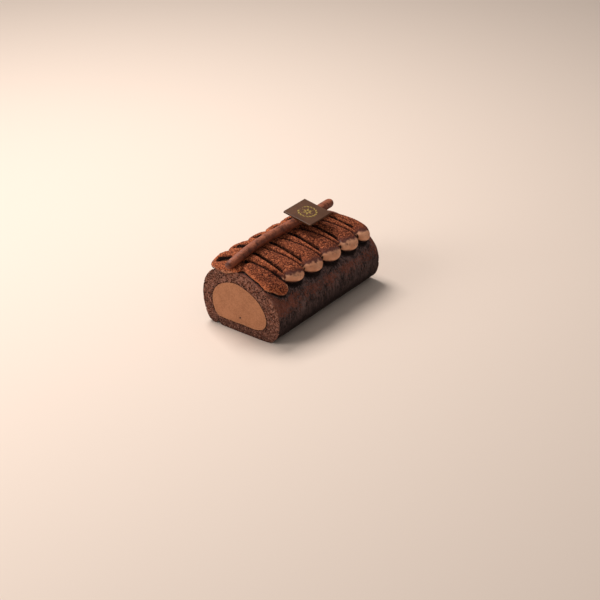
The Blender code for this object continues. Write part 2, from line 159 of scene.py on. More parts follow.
def sum_of(operation):
    """Function that adds a Math node for one operation and gives back its output."""
    return lambda tree, *values: calc(tree, operation, *values)


plus, minus, times, over = map(sum_of, ("ADD", "SUBTRACT", "MULTIPLY", "DIVIDE"))
larger, times_plus = map(sum_of, ("MAXIMUM", "MULTIPLY_ADD"))


def vector_calc(tree, operation, a, b=(0, 0, 0), c=(0, 0, 0)):
    """Output of a Vector Math node. To scale, b is a number or a link to one."""
    inputs = {0: a, "Scale": b} if operation == "SCALE" else {0: a, 1: b, 2: c}
    outputs = put(tree, "ShaderNodeVectorMath", inputs, operation=operation)
    return outputs["Value" if operation == "DOT_PRODUCT" else "Vector"]


def mixed(tree, a, b, factor, amount=1.0):
    """Colour a where the factor is 0, and b, or that amount of b, where it is 1."""
    if amount != 1.0:
        factor = times(tree, factor, amount)
    a, b = ((*colour, 1.0) if isinstance(colour, tuple) else colour for colour in (a, b))
    return put(tree, "ShaderNodeMix", {0: factor, 6: a, 7: b}, data_type="RGBA")[2]


def noise(tree, vector, scale, detail=2.0, roughness=0.5, output="Fac"):
    return put(tree, "ShaderNodeTexNoise", {"Vector": vector, "Scale": scale, "Detail": detail,
                                            "Roughness": roughness})[output]


def cells(tree, vector, scale):
    return put(tree, "ShaderNodeTexVoronoi", {"Vector": vector, "Scale": scale})


def new_group(kind, name, inputs, outputs):
    """Node group with named inputs, each a plain value or a kind of socket, and outputs."""
    tree = bpy.data.node_groups.new(name, kind)
    for label, value in inputs.items():
        socket_type = value if isinstance(value, str) else SOCKET_OF[type(value)]
        socket = tree.interface.new_socket(label, in_out="INPUT", socket_type=socket_type)
        if socket_type != value:
            socket.default_value = value
    for label, socket_type in outputs.items():
        tree.interface.new_socket(label, in_out="OUTPUT", socket_type=socket_type)
    return tree, tree.nodes.new("NodeGroupInput").outputs, tree.nodes.new("NodeGroupOutput").inputs


def give(tree, result, **values):
    """Link values to the outputs of a group, and give back its tree."""
    for name, value in values.items():
        tree.links.new(value, result[name])
    return tree


def bake(obj):
    """Keep what an object's modifiers make as its plain mesh."""
    evaluated = obj.evaluated_get(bpy.context.evaluated_depsgraph_get())
    result = bpy.data.meshes.new_from_object(evaluated)
    obj.modifiers.clear()
    obj.data = result
    return obj


def run_nodes(obj, tree, **values):
    """Run a Geometry Nodes tree on an object and keep the result as its plain mesh."""
    modifier = obj.modifiers.new(tree.name, "NODES")
    modifier.node_group = tree
    sockets = {s.name: s.identifier for s in tree.interface.items_tree if s.in_out == "INPUT"}
    for name, value in values.items():
        modifier[sockets[name.replace("_", " ")]] = value
    return bake(obj)


FLOAT, VECTOR, OBJECT = "NodeSocketFloat", "NodeSocketVector", "NodeSocketObject"
GEOMETRY, MATERIAL = "NodeSocketGeometry", "NodeSocketMaterial"
SOCKET_OF = {float: FLOAT, int: "NodeSocketInt"}
print("helpers ready")

# %% [markdown]
# ## Reading a cut end
#
# The sponge is replaced by a much finer mesh of the same form. Its section can be read off the
# frame: the corners of the near and far cut ends, walked round in order. Corners that lie close
# to the filling belong to the inner wall, and the rest is the skin.

# %% Read the sections of sponge and filling
def joined_copy(name):
    """bmesh of a frame node with its loose triangles joined."""
    bm = bmesh.new()
    bm.from_mesh(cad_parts[name].data)
    bmesh.ops.remove_doubles(bm, verts=bm.verts, dist=TOUCHING)
    bm.normal_update()
    return bm


def cut_rim(name, end):
    """Corners (x, z) of a node's cut end in order; end is 0 for the near one and 1 for the far."""
    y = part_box(name)[end].y
    bm = joined_copy(name)
    edges = {e for e in bm.edges if all(abs(v.co.y - y) < ON_END for v in e.verts)
             and sum(abs(f.normal.y) > 0.9 for f in e.link_faces) == 1}
    start = vert = max((v for e in edges for v in e.verts), key=lambda v: (v.co.x, v.co.z))
    corners = []
    while True:
        corners.append((vert.co.x, vert.co.z))
        edge = next(e for e in vert.link_edges if e in edges)
        edges.remove(edge)
        vert = edge.other_vert(vert)
        if vert is start:
            break
    bm.free()
    corners = np.array(corners)
    following = np.roll(corners, -1, axis=0)
    area = (corners[:, 0] * following[:, 1] - following[:, 0] * corners[:, 1]).sum()
    return corners if area > 0 else np.roll(corners[::-1], 1, axis=0)


def distance_to_line(points, line):
    """Distance from each point to a closed line."""
    a, b = line, np.roll(line, -1, axis=0)
    along = b - a
    t = ((points[:, None] - a) * along).sum(2) / (along ** 2).sum(1)
    nearest = a + np.clip(t, 0, 1)[..., None] * along
    return np.linalg.norm(points[:, None] - nearest, axis=2).min(1)


def spaced(line, count, closed=False):
    """The same line with evenly spaced points, softened a little."""
    if closed:
        line = np.vstack([line, line[:1]])
    way = np.concatenate([[0], np.cumsum(np.linalg.norm(np.diff(line, axis=0), axis=1))])
    at = np.linspace(0, way[-1], count, endpoint=not closed)
    even = np.stack([np.interp(at, way, line[:, k]) for k in (0, 1)], axis=1)
    for _ in range(SOFTENING):
        softer = (np.roll(even, 1, 0) + 2 * even + np.roll(even, -1, 0)) / 4
        if not closed:
            softer[[0, -1]] = even[[0, -1]]
        even = softer
    return even


def sponge_walls(end, count):
    """Evenly spaced skin and inner wall of a cut end of the sponge, from one lip to the other."""
    rim = cut_rim("sponge", end)
    inner = distance_to_line(rim, cut_rim("filling", end)) < NEAR_FILLING
    first = next(i for i in range(len(rim)) if inner[i - 1] and not inner[i])
    rim, inner = np.roll(rim, -first, axis=0), np.roll(inner, -first)
    skin, core = rim[~inner], rim[inner][::-1]
    return spaced(skin, count), spaced(core, count)


AROUND, SOFTENING = 300, 14
ON_END, NEAR_FILLING = 0.01 * MM, 1.0 * MM
near_skin, near_core = sponge_walls(0, AROUND)
far_skin, far_core = sponge_walls(1, AROUND)
print("sponge is", round(float(np.linalg.norm(near_skin - near_core, axis=1).mean() / MM), 1),
      "mm thick")

# %% [markdown]
# ## The sponge's fine mesh
#
# A ring of points goes round the skin, over one lip of the seam, back along the inner wall and over
# the other lip. A row of such rings from end to end makes the body, and a grid between skin and
# inner wall closes each cut end. It has the form of the solid, with corners about a millimetre
# apart, close enough for real relief.

# %% Build the sponge
LAYERS, RINGS = 30, 115
ROUNDS = 2 * AROUND + 2 * (LAYERS - 1)


def at_depth(line, y):
    """Points (x, y, z) from a line (x, z), all at one y."""
    return np.insert(line, 1, y, axis=1)


def tube_quads(rings, around):
    """Faces between rings of points that follow each other."""
    return [((j + 1) * around + i, (j + 1) * around + (i + 1) % around,
             j * around + (i + 1) % around, j * around + i)
            for j in range(rings - 1) for i in range(around)]


def sponge_body():
    """Closed mesh of the sponge: rings along the roll and a grid over each cut end."""
    low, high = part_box("sponge")
    steps = np.linspace(0, 1, LAYERS + 1)[1:-1, None]
    points = []
    for j in range(RINGS):
        t = j / (RINGS - 1)
        skin = near_skin * (1 - t) + far_skin * t
        core = near_core * (1 - t) + far_core * t
        ring = np.vstack([skin, skin[-1] + (core[-1] - skin[-1]) * steps,
                          core[::-1], core[0] + (skin[0] - core[0]) * steps])
        points.append(at_depth(ring, low.y + (high.y - low.y) * t))
    quads, first = tube_quads(RINGS, ROUNDS), RINGS * ROUNDS
    part = np.arange(1, LAYERS)[:, None] / LAYERS
    for end, skin, core, y in ((0, near_skin, near_core, low.y), (1, far_skin, far_core, high.y)):
        points += [at_depth(skin[i] * (1 - part) + core[i] * part, y) for i in range(1, AROUND - 1)]
        ring = (RINGS - 1) * ROUNDS * end
        grid = np.empty((AROUND, LAYERS + 1), int)
        grid[:, 0] = ring + np.arange(AROUND)
        grid[:, -1] = ring + ROUNDS - LAYERS - np.arange(AROUND)
        grid[-1, 1:-1] = ring + AROUND + np.arange(LAYERS - 1)
        grid[0, 1:-1] = ring + ROUNDS - 1 - np.arange(LAYERS - 1)
        inner = grid[1:-1, 1:-1]
        inner[:] = first + np.arange(inner.size).reshape(inner.shape)
        first += inner.size
        faces = np.stack([grid[:-1, :-1], grid[:-1, 1:], grid[1:, 1:], grid[1:, :-1]], axis=-1)
        quads += (faces if end else faces[..., ::-1]).reshape(-1, 4).tolist()
    return add_mesh("sponge_crumb", np.vstack(points), quads)


sponge = sponge_body()
print("sponge has", len(sponge.data.polygons), "faces")

# %% [markdown]
# ## Relief that follows a rule
#
# Crumb, skin and cream are all uneven in the same three ways, only by different amounts: soft
# lumps, a finer grain, and here and there an open pore. A small Geometry Nodes tree moves each
# corner along its normal by noise of those three sizes. Two attributes of the mesh say where:
# `relief` for lumps and grain, and `open` for pores.

# %% Relief tree
def named(tree, name):
    """Value of a mesh attribute, inside a Geometry Nodes tree."""
    return put(tree, "GeometryNodeInputNamedAttribute", {"Name": name},
               data_type="FLOAT")["Attribute"]


def stored(tree, surface, name, value):
    """The surface with a value stored as an attribute of its corners."""
    return put(tree, "GeometryNodeStoreNamedAttribute",
               {"Geometry": surface, "Name": name, "Value": value},
               data_type="FLOAT", domain="POINT")[0]


def relief_tree():
    tree, given, result = new_group(
        "GeometryNodeTree", "relief",
        {"Surface": GEOMETRY, "Lump Size": 6 * MM, "Lump Height": 0.0, "Grain Size": 1.5 * MM,
         "Grain Height": 0.0, "Pore Size": 2 * MM, "Pore Depth": 0.0},
        {"Surface": GEOMETRY})
    here = put(tree, "GeometryNodeInputPosition")[0]

    def waves(size, height, detail):
        fac = noise(tree, here, over(tree, 1.0, given[size]), detail, 0.6)
        return times(tree, times_plus(tree, fac, 2.0, -1.0), given[height])

    from_middle = cells(tree, here, over(tree, 1.0, given["Pore Size"]))["Distance"]
    patchy = noise(tree, here, 260.0, 1.0)
    pores = times(tree, ramp(tree, from_middle, 0.1, 0.42, 1, 0), ramp(tree, patchy, 0.42, 0.6))
    sunk = times(tree, times(tree, pores, given["Pore Depth"]), named(tree, "open"))
    raised = plus(tree, waves("Lump Size", "Lump Height", 2.0),
                  waves("Grain Size", "Grain Height", 3.0))
    height = minus(tree, times(tree, raised, named(tree, "relief")), sunk)
    move = vector_calc(tree, "SCALE", put(tree, "GeometryNodeInputNormal")[0], height)
    moved = put(tree, "GeometryNodeSetPosition", {"Geometry": given["Surface"], "Offset": move})
    return give(tree, result, Surface=moved[0])


RELIEF = relief_tree()


def set_attribute(obj, name, values):
    """Store values, or one value, for the corners of a mesh."""
    attribute = obj.data.attributes.get(name) or obj.data.attributes.new(name, "FLOAT", "POINT")
    attribute.data.foreach_set("value", np.full(len(obj.data.vertices), values, np.float32))


def read_attribute(obj, name):
    values = np.empty(len(obj.data.vertices), np.float32)
    obj.data.attributes[name].data.foreach_get("value", values)
    return values


def corners_of(obj):
    """Corner positions and normals of a mesh, as two arrays."""
    both = []
    for what in ("co", "normal"):
        values = np.empty(len(obj.data.vertices) * 3, np.float32)
        obj.data.vertices.foreach_get(what, values)
        both.append(values.reshape(-1, 3))
    return both


def percent(mask):
    return round(float(mask.mean() * 100))


def eased(x, low, high):
    """Value eased from 0 to 1 while x goes from low to high."""
    t = np.clip((x - low) / (high - low), 0, 1)
    return t * t * (3 - 2 * t)


def shade(obj, sharp_degrees=None):
    obj.data.shade_smooth()
    if sharp_degrees:
        obj.data.set_sharp_from_angle(angle=math.radians(sharp_degrees))


def roughen(piece, where, lumps, grain, pores=(2.0, 0.0), open_at=0.0, sharp_degrees=None):
    """Raise lumps and grain and sink pores, each as (size, height) in millimetres."""
    set_attribute(piece, "relief", where)
    set_attribute(piece, "open", open_at)
    names = ("Lump_Size", "Lump_Height", "Grain_Size", "Grain_Height", "Pore_Size", "Pore_Depth")
    sizes = (value * MM for value in (*lumps, *grain, *pores))
    run_nodes(piece, RELIEF, **dict(zip(names, sizes)))
    shade(piece, sharp_degrees)


print("relief tree has", len(RELIEF.nodes), "nodes")

# %% [markdown]
# ## Roughening the sponge
#
# The skin gets lumps and grain. On the cut ends open pores are added, a little over two
# millimetres apart. The underside and the inner wall stay smooth, so that the cake still stands
# flat and the filling still fits. `cut` marks the ends for the finish, and `rim` the line where
# the crumb meets the filling, which the finish darkens as a painted shadow line.

# %% Sponge relief
places, normals = corners_of(sponge)
near_y, far_y = (corner.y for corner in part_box("sponge"))
on_cut = (places[:, 1] < near_y + TOUCHING) | (places[:, 1] > far_y - TOUCHING)
inner_wall = np.zeros(len(places), bool)
inner_wall[:RINGS * ROUNDS] = np.arange(RINGS * ROUNDS) % ROUNDS >= AROUND
to_core = distance_to_line(places[on_cut][:, (0, 2)].astype(float), near_core)
rim = np.zeros(len(places))
rim[on_cut] = 1 - eased(to_core, 0.3 * MM, 2.2 * MM)
standing = eased(places[:, 2], 0.2 * MM, 3 * MM)
set_attribute(sponge, "cut", on_cut)
set_attribute(sponge, "rim", rim)
roughen(sponge, np.where(inner_wall & ~on_cut, 0.0, standing), (7, 0.35), (1.6, 0.25), (2.3, 1.2),
        open_at=on_cut & ~inner_wall, sharp_degrees=60)
print("cut ends hold", int(on_cut.sum()), "corners")

# %% [markdown]
# ## The filling's fine mesh
#
# The core is a firm cream. Its outline is read off the solid's cut end, made a quarter of a
# millimetre wider so that it meets the sponge, and run through the roll. Rings that shrink to the
# middle close each end, fine enough for the soft waves that the knife left.

# %% Filling
CORE_AROUND, CORE_RINGS, CORE_STEPS = 260, 25, 36
PRESS_IN = 0.25 * MM
PORE_AT, PORE_RADIUS, PORE_DEPTH = (-0.4 * MM, 14.0 * MM), 0.75 * MM, 1.0 * MM


def widened(line, by):
    """Closed line moved outwards by a distance."""
    along = np.roll(line, -1, axis=0) - np.roll(line, 1, axis=0)
    out = np.stack([along[:, 1], -along[:, 0]], axis=1)
    return line + by * out / np.linalg.norm(out, axis=1)[:, None]


def filling_body():
    low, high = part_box("filling")
    near, far = (widened(spaced(cut_rim("filling", end), CORE_AROUND, closed=True), PRESS_IN)
                 for end in (0, 1))
    shrink = [(1 - k / CORE_STEPS) for k in range(1, CORE_STEPS)]
    levels = [(0.0, size) for size in reversed(shrink)]
    levels += [(t, 1.0) for t in np.linspace(0, 1, CORE_RINGS)] + [(1.0, size) for size in shrink]
    points = []
    for t, size in levels:
        ring = near * (1 - t) + far * t
        ring = ring.mean(0) + (ring - ring.mean(0)) * size
        points.append(at_depth(ring, low.y + (high.y - low.y) * t))
    quads = tube_quads(len(levels), CORE_AROUND)
    points = np.vstack(points)
    for ring_start in (0, len(points) - CORE_AROUND):
        middle = points[ring_start:ring_start + CORE_AROUND].mean(0)
        points = np.vstack([points, middle])
        for i in range(CORE_AROUND):
            fan = (ring_start + i, ring_start + (i + 1) % CORE_AROUND, len(points) - 1)
            quads.append(fan if ring_start == 0 else fan[::-1])
    return add_mesh("filling_cream", points, quads)


filling = filling_body()
places, normals = corners_of(filling)
on_end = np.abs(normals[:, 1]) > 0.5
from_pore = np.hypot(places[:, 0] - PORE_AT[0], places[:, 2] - PORE_AT[1])
pore = np.exp(-(from_pore / PORE_RADIUS) ** 2) * (places[:, 1] < 0)
roughen(filling, on_end, (9, 0.35), (2.2, 0.1), open_at=pore, sharp_degrees=60)
places, _ = corners_of(filling)
places[:, 1] += pore * PORE_DEPTH
filling.data.vertices.foreach_set("co", places.ravel())
shade(filling, 60)
print("filling has", len(filling.data.polygons), "faces")

# %% [markdown]
# ## The cream ribbon's form
#
# The cream was piped in one go, from side to side along the roll, so that its folds lie against
# each other with a slit between them. The solid has those folds with flat facets. Subdivision
# rounds the facets, a voxel remesh gives small even faces, and smoothing takes the voxel steps
# away.

# %% Cream ribbon
def smooth_copy(node, name, voxel, passes):
    """Copy of a node's solid, rounded by subdivision, then remade in small even faces."""
    bm = joined_copy(node)
    mesh = bpy.data.meshes.new(name)
    bm.to_mesh(mesh)
    bm.free()
    piece = add_object(name, mesh)
    for kind, settings in (("SUBSURF", {"levels": 2, "render_levels": 2}),
                           ("REMESH", {"mode": "VOXEL", "voxel_size": voxel}),
                           ("SMOOTH", {"factor": 0.5, "iterations": passes})):
        modifier = piece.modifiers.new(kind.lower(), kind)
        for key, value in settings.items():
            setattr(modifier, key, value)
    shade(bake(piece))
    return piece


cream = smooth_copy("piped_cream", "cream_ribbon", voxel=0.61 * MM, passes=8)
print("cream has", len(cream.data.polygons), "faces")

# %% [markdown]
# ## Crests and hollows
#
# The finish paints highlights on crests and shade in hollows, so it has to know which is which. A
# Geometry Nodes tree blurs the corners' positions and compares each corner with its blurred self:
# it lies above it on a crest, and below it in a hollow. The difference along the normal is stored
# as the attribute `crest`, from -1 to 1.

# %% Crest tree
def crest_tree():
    tree, given, result = new_group(
        "GeometryNodeTree", "crest",
        {"Surface": GEOMETRY, "Steps": 12, "Full Height": MM}, {"Surface": GEOMETRY})
    here = put(tree, "GeometryNodeInputPosition")[0]
    blurred = put(tree, "GeometryNodeBlurAttribute", {"Value": here, "Iterations": given["Steps"]},
                  data_type="FLOAT_VECTOR")[0]
    along = vector_calc(tree, "DOT_PRODUCT", vector_calc(tree, "SUBTRACT", here, blurred),
                        put(tree, "GeometryNodeInputNormal")[0])
    share = put(tree, "ShaderNodeClamp", {"Value": over(tree, along, given["Full Height"]),
                                          "Min": -1.0, "Max": 1.0})[0]
    return give(tree, result, Surface=stored(tree, given["Surface"], "crest", share))


CREST = crest_tree()
run_nodes(cream, CREST, Steps=14, Full_Height=0.35 * MM)
crest = read_attribute(cream, "crest")
print("crests on", percent(crest > 0.5), "% of its corners, hollows on", percent(crest < -0.5), "%")

# %% [markdown]
# ## Where the cocoa fell
#
# Cocoa was sifted from above, so it lies where the sky can be seen: on the tops, not in the slits
# or under a fold of cream. A Geometry Nodes tree casts rays from each corner against the cream, one
# straight up and two rings of slanted ones, and stores the share that gets away as the attribute
# `sky`. Two more rays find the walls of slits and openings: one goes across and soon meets cream
# again, and one goes down beside the wall and meets none. The attribute `facing` rises towards 1
# there.

# %% Sky tree
RAYS_IN_RING, RING_SLANTS = 8, (20.0, 45.0)


def sky_tree():
    tree, given, result = new_group(
        "GeometryNodeTree", "sky",
        {"Surface": GEOMETRY, "Shade": OBJECT, "Lift": 0.4 * MM, "Reach": 40 * MM,
         "Slit Width": 8 * MM, "Slit Depth": 4 * MM},
        {"Surface": GEOMETRY})
    cover = put(tree, "GeometryNodeObjectInfo", {"Object": given["Shade"]})["Geometry"]
    normal = put(tree, "GeometryNodeInputNormal")[0]

    def cast(source, way, reach):
        return put(tree, "GeometryNodeRaycast",
                   {"Target Geometry": cover, "Source Position": source,
                    "Ray Direction": way, "Ray Length": reach})

    def closeness(source, way, reach):
        hit = cast(source, way, reach)
        share = over(tree, hit["Hit Distance"], reach)
        return times(tree, hit["Is Hit"], minus(tree, 1.0, share))

    start = vector_calc(tree, "ADD", put(tree, "GeometryNodeInputPosition")[0],
                        vector_calc(tree, "SCALE", normal, given["Lift"]))
    rays = [(0.0, 0.0)] + [(math.radians(slant), 2 * math.pi * k / RAYS_IN_RING)
                           for slant in RING_SLANTS for k in range(RAYS_IN_RING)]
    blocked = 0.0
    for tilt, turn in rays:
        way = (math.sin(tilt) * math.cos(turn), math.sin(tilt) * math.sin(turn), math.cos(tilt))
        blocked = plus(tree, blocked, cast(start, way, given["Reach"])["Is Hit"])
    sky = minus(tree, 1.0, over(tree, blocked, float(len(rays))))
    level = vector_calc(tree, "MULTIPLY", normal, (1, 1, 0))
    level = vector_calc(tree, "NORMALIZE", level)
    across = closeness(start, vector_calc(tree, "ADD", level, (0.0, 0.0, -0.35)),
                       given["Slit Width"])
    beside = vector_calc(tree, "ADD", start, vector_calc(tree, "SCALE", level, 1.0 * MM))
    floor_near = closeness(beside, (0.0, 0.0, -1.0), given["Slit Depth"])
    upward = put(tree, "ShaderNodeSeparateXYZ", {0: normal})["Z"]
    wall = times(tree, ramp(tree, upward, 0.6, 0.9, 1, 0), ramp(tree, floor_near, 0.2, 0.6, 1, 0))
    facing = times(tree, wall, across)
    surface = stored(tree, given["Surface"], "sky", sky)
    return give(tree, result, Surface=stored(tree, surface, "facing", facing))


SKY = sky_tree()
shelter = add_object("shelter", cream.data.copy())
for piece in (cream, sponge):
    run_nodes(piece, SKY, Shade=shelter)
    print(piece.name, "sees", round(float(read_attribute(piece, "sky").mean()), 2), "of the sky")
bpy.data.objects.remove(shelter)

# %% [markdown]
# ## Dust and relief of the cream
#
# The rounded ends on the long side hang over, so their undersides stayed bare, up to much the same
# height: it is given as an angle round the roll, a little higher on an end's near side. The first
# run lies low on the front edge and is covered all over; its near rim gets a painted highlight,
# stored with the crests. `dusted` holds this, and dusted cream also gets more relief than bare
# cream. Another attribute marks the rounded ends, where the thinning powder is drawn as a dark
# veil, and a third marks the slits and openings for painted shade, as no light gets in there.

# %% Dust and relief of the cream
ROUND_ENDS, LEFT_LOOPS = (18 * MM, 25 * MM), (8 * MM, 16 * MM)
FIRST_RUN_Y, FIRST_RUN_X = (53.5 * MM, 55 * MM), (2 * MM, 12 * MM)
ROLL_MIDDLE = 20 * MM
BARE_BELOW, BARE_TURN, VEIL_WIDTH = 42.5, 6.0, 11.0

places, normals = corners_of(cream)
up = normals[:, 2]
round_end = eased(places[:, 0], *ROUND_ENDS)
first_run = eased(-places[:, 1], *FIRST_RUN_Y) * eased(places[:, 0], *FIRST_RUN_X)
round_roll = np.degrees(np.arctan2(places[:, 2] - ROLL_MIDDLE, places[:, 0]))
bare_below = BARE_BELOW - BARE_TURN * normals[:, 1]
on_end = np.clip((round_roll - bare_below) / VEIL_WIDTH, -0.3, 1)
dusted = round_end * on_end + (1 - round_end) * (0.3 + 0.7 * eased(up, -0.1, 0.6))
dusted = np.maximum(dusted, first_run * (0.35 + 0.65 * eased(up, -0.1, 0.5)))
# The first run's near rim gets a painted highlight, added to the crest value.
rim_highlight = first_run * eased(-normals[:, 1], 0.5, 0.9)
left, facing = eased(-places[:, 0], *LEFT_LOOPS), read_attribute(cream, "facing")
# Painted shade for the walls of slits and the openings of the loops, found more easily on the left.
painted_slit_shade = left * eased(facing, 0.05, 0.3) + (1 - left) * eased(facing, 0.25, 0.55)
for name, values in (("dusted", dusted), ("veiled_ends", round_end * (1 - first_run)), ("painted_slit_shade", painted_slit_shade),
                     ("crest", read_attribute(cream, "crest") + 0.6 * rim_highlight)):
    set_attribute(cream, name, values)
roughen(cream, 0.3 + 0.7 * np.maximum(dusted, 0) + 0.6 * first_run * (up < 0.8),
        (5, 0.45), (1.5, 0.25))
print("dusted on", percent(dusted > 0.5), "% of its corners")

# %% [markdown]
# ## Crumb and cocoa, as shared shader groups
#
# Finer detail than the mesh can carry goes into the materials. `crumb` gives open pores of three
# sizes and pale specks, for the sponge, whose finish paints the pores dark as shade and the specks
# as highlights. `cocoa` gives sifted powder: each grain of a cell pattern either lies there or not,
# by chance, so that a thin cover ends in single specks.
# Both read Object coordinates, so that the grain has the same size everywhere.

# %% Shader groups
def bent(tree, vector, by, scale, roughness):
    """Vector pushed about by noise, so that a pattern on it gets ragged edges."""
    push = noise(tree, vector, scale, 3.0, roughness, "Color")
    return vector_calc(tree, "MULTIPLY_ADD", push, (by, by, by), vector)


def crumb_group():
    tree, given, result = new_group(
        "ShaderNodeTree", "crumb",
        {"Vector": VECTOR, "Pore Size": 2.2 * MM},
        {"Pores": FLOAT, "Specks": FLOAT, "Tone": FLOAT, "Height": FLOAT})
    scale = over(tree, 1.0, given["Pore Size"])
    vector = bent(tree, given["Vector"], 1.4 * MM, 700.0, 0.5)
    thin_out = noise(tree, given["Vector"], 300.0)
    pores = 0.0
    for finer, depth, low, high in ((1.0, 1.0, 0.4, 0.54), (1.5, 1.0, 0.36, 0.52),
                                    (4.0, 0.6, 0.3, 0.6)):
        from_middle = cells(tree, vector, times(tree, scale, finer))["Distance"]
        pores = larger(tree, pores, times(tree, ramp(tree, from_middle, 0.2, 0.46, depth, 0.0),
                                          ramp(tree, thin_out, low, high)))
    fine = noise(tree, given["Vector"], 900.0, 4.0, 0.7)
    # Pale specks, which the sponge's finish paints as highlights of crumbs catching the light.
    specks = ramp(tree, noise(tree, vector, 1200.0, 2.0, 0.7), 0.58, 0.66)
    height = times_plus(tree, fine, 0.8, times(tree, pores, -1.0))
    return give(tree, result, Pores=pores, Specks=specks, Tone=fine, Height=height)


def cocoa_group():
    tree, given, result = new_group(
        "ShaderNodeTree", "cocoa",
        {"Vector": VECTOR, "Grain Size": 1.3 * MM, "Cover": 1.0},
        {"Mask": FLOAT, "Tone": FLOAT, "Height": FLOAT})
    scale = over(tree, 1.0, given["Grain Size"])
    vector = bent(tree, given["Vector"], 1.2 * MM, 1600.0, 0.7)
    clumps, grains = cells(tree, vector, scale), cells(tree, vector, times(tree, scale, 1.8))
    by_clump, by_grain = (put(tree, "ShaderNodeSeparateColor", {0: pattern["Color"]})[0]
                          for pattern in (clumps, grains))
    fine = noise(tree, given["Vector"], scale, 5.0, 0.8)
    chance = times_plus(tree, by_clump, 0.35, times(tree, by_grain, 0.35))
    chance = plus(tree, chance, times_plus(tree, fine, 0.9, -0.3))
    mask = ramp(tree, minus(tree, times(tree, given["Cover"], 1.2), chance), -0.07, 0.07)
    tone = times_plus(tree, by_clump, 0.3, times_plus(tree, by_grain, 0.9, -0.65))
    tone = calc(tree, "ADD", tone, times_plus(tree, fine, 2.8, -0.9), clamp=True)
    height = times_plus(tree, minus(tree, by_grain, grains["Distance"]), 0.5, fine)
    return give(tree, result, Mask=mask, Tone=tone, Height=height)


CRUMB, COCOA = crumb_group(), cocoa_group()


def placed(tree, group, vector, **values):
    """Place a shader group in a material and give back its outputs."""
    inputs = {name.replace("_", " "): value for name, value in values.items()}
    return put(tree, "ShaderNodeGroup", {"Vector": vector, **inputs}, node_tree=group)


def new_finish(name, roughness, gloss):
    """Material, its node tree and the Object coordinates."""
    material = bpy.data.materials.new(name)
    material.use_nodes = True
    tree = material.node_tree
    shader = tree.nodes["Principled BSDF"].inputs
    shader["Roughness"].default_value = roughness
    shader["Specular IOR Level"].default_value = gloss
    return material, tree, put(tree, "ShaderNodeTexCoord")["Object"]


def attribute_of(tree, name):
    return put(tree, "ShaderNodeAttribute", attribute_name=name)["Fac"]


def stretched(tree, vector, z_scale, lean=0.0):
    """Vector that draws a pattern on it out along Z, or presses it together."""
    return put(tree, "ShaderNodeMapping", {"Vector": vector, "Rotation": (0.0, lean, 0.0),
                                           "Scale": (1.0, 1.0, z_scale)})[0]


def coat(material, colour, roughness=None, height=None, distance=0.0, strength=0.0):
    """Material with a colour and, if given, a roughness and a height as bump in its shader."""
    tree = material.node_tree
    shader = tree.nodes["Principled BSDF"].inputs
    tree.links.new(colour, shader["Base Color"])
    if height:
        bump = {"Strength": strength, "Distance": distance, "Height": height}
        tree.links.new(put(tree, "ShaderNodeBump", bump)[0], shader["Normal"])
    if roughness:
        tree.links.new(roughness, shader["Roughness"])
    return material


def dress(piece, material):
    piece.data.materials.clear()
    piece.data.materials.append(material)


print("groups:", CRUMB.name, COCOA.name)

# %% [markdown]
# ## The sponge's finish
#
# Cut crumb is brown, with redder bits, pores painted dark as shade and a few pale specks painted as
# highlights. It has painted shade towards the floor and a painted shadow in a ragged line along the
# filling. The baked skin is grey-brown, with small pores that are drawn out downwards and painted
# dark as shade. Cocoa settled on it in reddish specks where it saw the sky, with more of it near
# the cut. Where the cream hides the sky, and low down, the skin gets painted shade.

# %% Sponge finish
SPONGE_CUT = (0.35, 0.158, 0.108)
SPONGE_DIM = (0.085, 0.028, 0.018)
# Near-black painted shade, for pores, along the filling, low down and where the cream hides the
# sky.
SPONGE_SHADE = (0.014, 0.006, 0.005)
# Pale painted highlights, where crumbs catch the light.
SPONGE_HIGHLIGHT_SPECK = (0.56, 0.27, 0.18)
SPONGE_RED = (0.25, 0.07, 0.032)
SKIN_DARK = (0.05, 0.035, 0.034)
SKIN_BROWN = (0.24, 0.15, 0.134)
SKIN_COCOA = (0.275, 0.084, 0.05)


